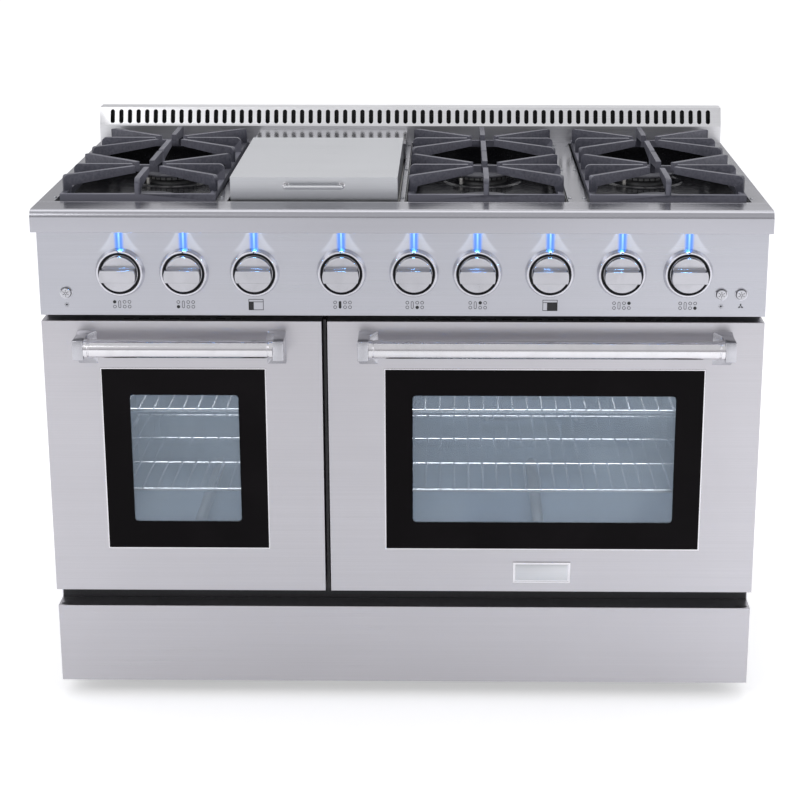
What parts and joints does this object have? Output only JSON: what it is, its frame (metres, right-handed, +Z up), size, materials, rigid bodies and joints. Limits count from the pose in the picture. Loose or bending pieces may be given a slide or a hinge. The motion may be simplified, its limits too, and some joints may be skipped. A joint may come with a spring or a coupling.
{
  "type": "freestanding gas range",
  "caption": "Wide freestanding gas range with two drop-down oven doors, a row of control knobs, cast grates over paired burners and a covered griddle.",
  "frame": {"origin": "on the floor, at the middle of the bounding box", "axes": "+Z up, +X to the right of a person facing the doors, the front faces -Y"},
  "size_m": [1.216, 0.711, 0.9593],
  "materials": {
    "backguard": "brushed",
    "badge_plate": "polished",
    "base_frame": "matt black",
    "bullnose": "polished",
    "burner_caps": "matt black enamel",
    "burner_heads": "cast",
    "burner_pans": "gloss black enamel",
    "button_convection": "polished",
    "button_light_left": "polished",
    "button_light_right": "polished",
    "control_panel": "brushed",
    "door_gaskets": "glass-fibre braid",
    "door_liner_left": "grey enamel",
    "door_liner_right": "grey enamel",
    "door_panel_left": "brushed",
    "door_panel_right": "brushed",
    "fan_cover": "blue-grey enamel",
    "fan_impeller": "plain",
    "fan_motor": "plain",
    "front_frame": "black enamel",
    "gas_manifold": "plain",
    "gas_valves": "plain",
    "grate_left": "matt enamel",
    "grate_middle": "matt enamel",
    "grate_right": "matt enamel",
    "griddle_cover": "brushed",
    "griddle_plate": "ground",
    "handle_left": "satin nickel",
    "handle_right": "satin nickel",
    "hinges_left": "zinc plated",
    "hinges_right": "zinc plated",
    "hob_frame": "polished",
    "igniters": "white ceramic",
    "inner_glass_left": "clear",
    "inner_glass_right": "clear",
    "kick_panel": "brushed",
    "knob_bezels": "polished",
    "knob_burner_back_left": "satin metal",
    "knob_burner_back_middle": "satin metal",
    "knob_burner_back_right": "satin metal",
    "knob_burner_front_left": "satin metal",
    "knob_burner_front_middle": "satin metal",
    "knob_burner_front_right": "satin metal",
    "knob_griddle": "satin metal",
    "knob_oven_left": "satin metal",
    "knob_oven_right": "satin metal",
    "leveling_feet": "plated",
    "outer_panels": "brushed",
    "oven_cavity_left": "blue-grey enamel",
    "oven_cavity_right": "blue-grey enamel",
    "oven_lamps": "clear",
    "rack_guides": "plated",
    "rack_left_high": "plated wire",
    "rack_left_low": "plated wire",
    "rack_right_high": "plated wire",
    "rack_right_low": "plated wire",
    "service_inlets": "plain",
    "tube_burners": "plain",
    "window_left": "black-framed tempered glass",
    "window_right": "black-framed tempered glass"
  },
  "bodies": {
    "range_body": {"backguard": "backguard", "base_frame": "base_frame", "bullnose": "bullnose", "burner_caps": "burner_caps", "burner_heads": "burner_heads", "burner_pans": "burner_pans", "control_panel": "control_panel", "door_gaskets": "door_gaskets", "fan_cover": "fan_cover", "fan_motor": "fan_motor", "front_frame": "front_frame", "gas_manifold": "gas_manifold", "gas_valves": "gas_valves", "griddle_plate": "griddle_plate", "hob_frame": "hob_frame", "igniters": "igniters", "kick_panel": "kick_panel", "knob_bezels": "knob_bezels", "leveling_feet": "leveling_feet", "outer_panels": "outer_panels", "oven_cavity_left": "oven_cavity_left", "oven_cavity_right": "oven_cavity_right", "oven_lamps": "oven_lamps", "rack_guides": "rack_guides", "service_inlets": "service_inlets", "tube_burners": "tube_burners"},
    "door_left": {"door_panel_left": "door_panel_left", "window_left": "window_left", "door_liner_left": "door_liner_left", "inner_glass_left": "inner_glass_left", "handle_left": "handle_left", "hinges_left": "hinges_left"},
    "door_right": {"door_panel_right": "door_panel_right", "window_right": "window_right", "door_liner_right": "door_liner_right", "inner_glass_right": "inner_glass_right", "handle_right": "handle_right", "hinges_right": "hinges_right", "badge_plate": "badge_plate"},
    "rack_left_low": {"rack_left_low": "rack_left_low"},
    "rack_left_high": {"rack_left_high": "rack_left_high"},
    "rack_right_low": {"rack_right_low": "rack_right_low"},
    "rack_right_high": {"rack_right_high": "rack_right_high"},
    "grate_left": {"grate_left": "grate_left"},
    "grate_middle": {"grate_middle": "grate_middle"},
    "grate_right": {"grate_right": "grate_right"},
    "griddle_cover": {"griddle_cover": "griddle_cover"},
    "knob_burner_back_left": {"knob_burner_back_left": "knob_burner_back_left"},
    "knob_burner_front_left": {"knob_burner_front_left": "knob_burner_front_left"},
    "knob_oven_left": {"knob_oven_left": "knob_oven_left"},
    "knob_griddle": {"knob_griddle": "knob_griddle"},
    "knob_burner_front_middle": {"knob_burner_front_middle": "knob_burner_front_middle"},
    "knob_burner_back_middle": {"knob_burner_back_middle": "knob_burner_back_middle"},
    "knob_oven_right": {"knob_oven_right": "knob_oven_right"},
    "knob_burner_back_right": {"knob_burner_back_right": "knob_burner_back_right"},
    "knob_burner_front_right": {"knob_burner_front_right": "knob_burner_front_right"},
    "button_light_left": {"button_light_left": "button_light_left"},
    "button_light_right": {"button_light_right": "button_light_right"},
    "button_convection": {"button_convection": "button_convection"},
    "fan_impeller": {"fan_impeller": "fan_impeller"}
  },
  "joints": [
    {"name": "a_door_left", "type": "hinge", "parent": "range_body", "child": "door_left", "pos_m": [0, -0.2715, 0.213], "axis": [1, 0, 0], "range_deg": [0, 85], "stiffness_Nm_per_rad": 12, "springref_deg": -28.65},
    {"name": "a_door_right", "type": "hinge", "parent": "range_body", "child": "door_right", "pos_m": [0, -0.2715, 0.213], "axis": [1, 0, 0], "range_deg": [0, 85], "stiffness_Nm_per_rad": 18, "springref_deg": -28.65},
    {"name": "c_grate_left_lift", "type": "slide", "parent": "range_body", "child": "grate_left", "axis": [0, 0, 1], "range_m": [0, 0.2]},
    {"name": "c_grate_middle_lift", "type": "slide", "parent": "range_body", "child": "grate_middle", "axis": [0, 0, 1], "range_m": [0, 0.2]},
    {"name": "c_grate_right_lift", "type": "slide", "parent": "range_body", "child": "grate_right", "axis": [0, 0, 1], "range_m": [0, 0.2]},
    {"name": "b_griddle_cover_lift", "type": "slide", "parent": "range_body", "child": "griddle_cover", "axis": [0, 0, 1], "range_m": [0, 0.2]},
    {"name": "d_rack_left_low_slide", "type": "slide", "parent": "range_body", "child": "rack_left_low", "axis": [0, -1, 0], "range_m": [0, 0.235]},
    {"name": "d_rack_left_high_slide", "type": "slide", "parent": "range_body", "child": "rack_left_high", "axis": [0, -1, 0], "range_m": [0, 0.235]},
    {"name": "d_rack_right_low_slide", "type": "slide", "parent": "range_body", "child": "rack_right_low", "axis": [0, -1, 0], "range_m": [0, 0.235]},
    {"name": "d_rack_right_high_slide", "type": "slide", "parent": "range_body", "child": "rack_right_high", "axis": [0, -1, 0], "range_m": [0, 0.235]},
    {"name": "e_knob_burner_back_left_turn", "type": "hinge", "parent": "range_body", "child": "knob_burner_back_left", "pos_m": [-0.471, -0.3015, 0.7788], "axis": [0, -1, 0], "range_deg": [0, 240]},
    {"name": "e_knob_burner_front_left_turn", "type": "hinge", "parent": "range_body", "child": "knob_burner_front_left", "pos_m": [-0.364, -0.3015, 0.7788], "axis": [0, -1, 0], "range_deg": [0, 240]},
    {"name": "e_knob_oven_left_turn", "type": "hinge", "parent": "range_body", "child": "knob_oven_left", "pos_m": [-0.246, -0.3015, 0.7788], "axis": [0, -1, 0], "range_deg": [0, 270]},
    {"name": "e_knob_griddle_turn", "type": "hinge", "parent": "range_body", "child": "knob_griddle", "pos_m": [-0.101, -0.3015, 0.7788], "axis": [0, -1, 0], "range_deg": [0, 240]},
    {"name": "e_knob_burner_front_middle_turn", "type": "hinge", "parent": "range_body", "child": "knob_burner_front_middle", "pos_m": [0.02, -0.3015, 0.7788], "axis": [0, -1, 0], "range_deg": [0, 240]},
    {"name": "e_knob_burner_back_middle_turn", "type": "hinge", "parent": "range_body", "child": "knob_burner_back_middle", "pos_m": [0.1255, -0.3015, 0.7788], "axis": [0, -1, 0], "range_deg": [0, 240]},
    {"name": "e_knob_oven_right_turn", "type": "hinge", "parent": "range_body", "child": "knob_oven_right", "pos_m": [0.2465, -0.3015, 0.7788], "axis": [0, -1, 0], "range_deg": [0, 270]},
    {"name": "e_knob_burner_back_right_turn", "type": "hinge", "parent": "range_body", "child": "knob_burner_back_right", "pos_m": [0.366, -0.3015, 0.7788], "axis": [0, -1, 0], "range_deg": [0, 240]},
    {"name": "e_knob_burner_front_right_turn", "type": "hinge", "parent": "range_body", "child": "knob_burner_front_right", "pos_m": [0.4765, -0.3015, 0.7788], "axis": [0, -1, 0], "range_deg": [0, 240]},
    {"name": "f_button_light_left_press", "type": "slide", "parent": "range_body", "child": "button_light_left", "axis": [0, 1, 0], "range_m": [0, 0.003], "stiffness_N_per_m": 300, "springref_m": -0.001},
    {"name": "f_button_light_right_press", "type": "slide", "parent": "range_body", "child": "button_light_right", "axis": [0, 1, 0], "range_m": [0, 0.003], "stiffness_N_per_m": 300, "springref_m": -0.001},
    {"name": "f_button_convection_press", "type": "slide", "parent": "range_body", "child": "button_convection", "axis": [0, 1, 0], "range_m": [0, 0.003], "stiffness_N_per_m": 300, "springref_m": -0.001},
    {"name": "g_fan_spin", "type": "hinge", "parent": "range_body", "child": "fan_impeller", "pos_m": [0.24075, 0.2095, 0.448], "axis": [0, 1, 0], "continuous": true}
  ],
  "couplings": [
    {"joint": "d_rack_left_low_slide", "follows": "a_door_left", "m_per_rad": 0.158},
    {"joint": "d_rack_left_high_slide", "follows": "a_door_left", "m_per_rad": 0.158},
    {"joint": "d_rack_right_low_slide", "follows": "a_door_right", "m_per_rad": 0.158},
    {"joint": "d_rack_right_high_slide", "follows": "a_door_right", "m_per_rad": 0.158}
  ]
}
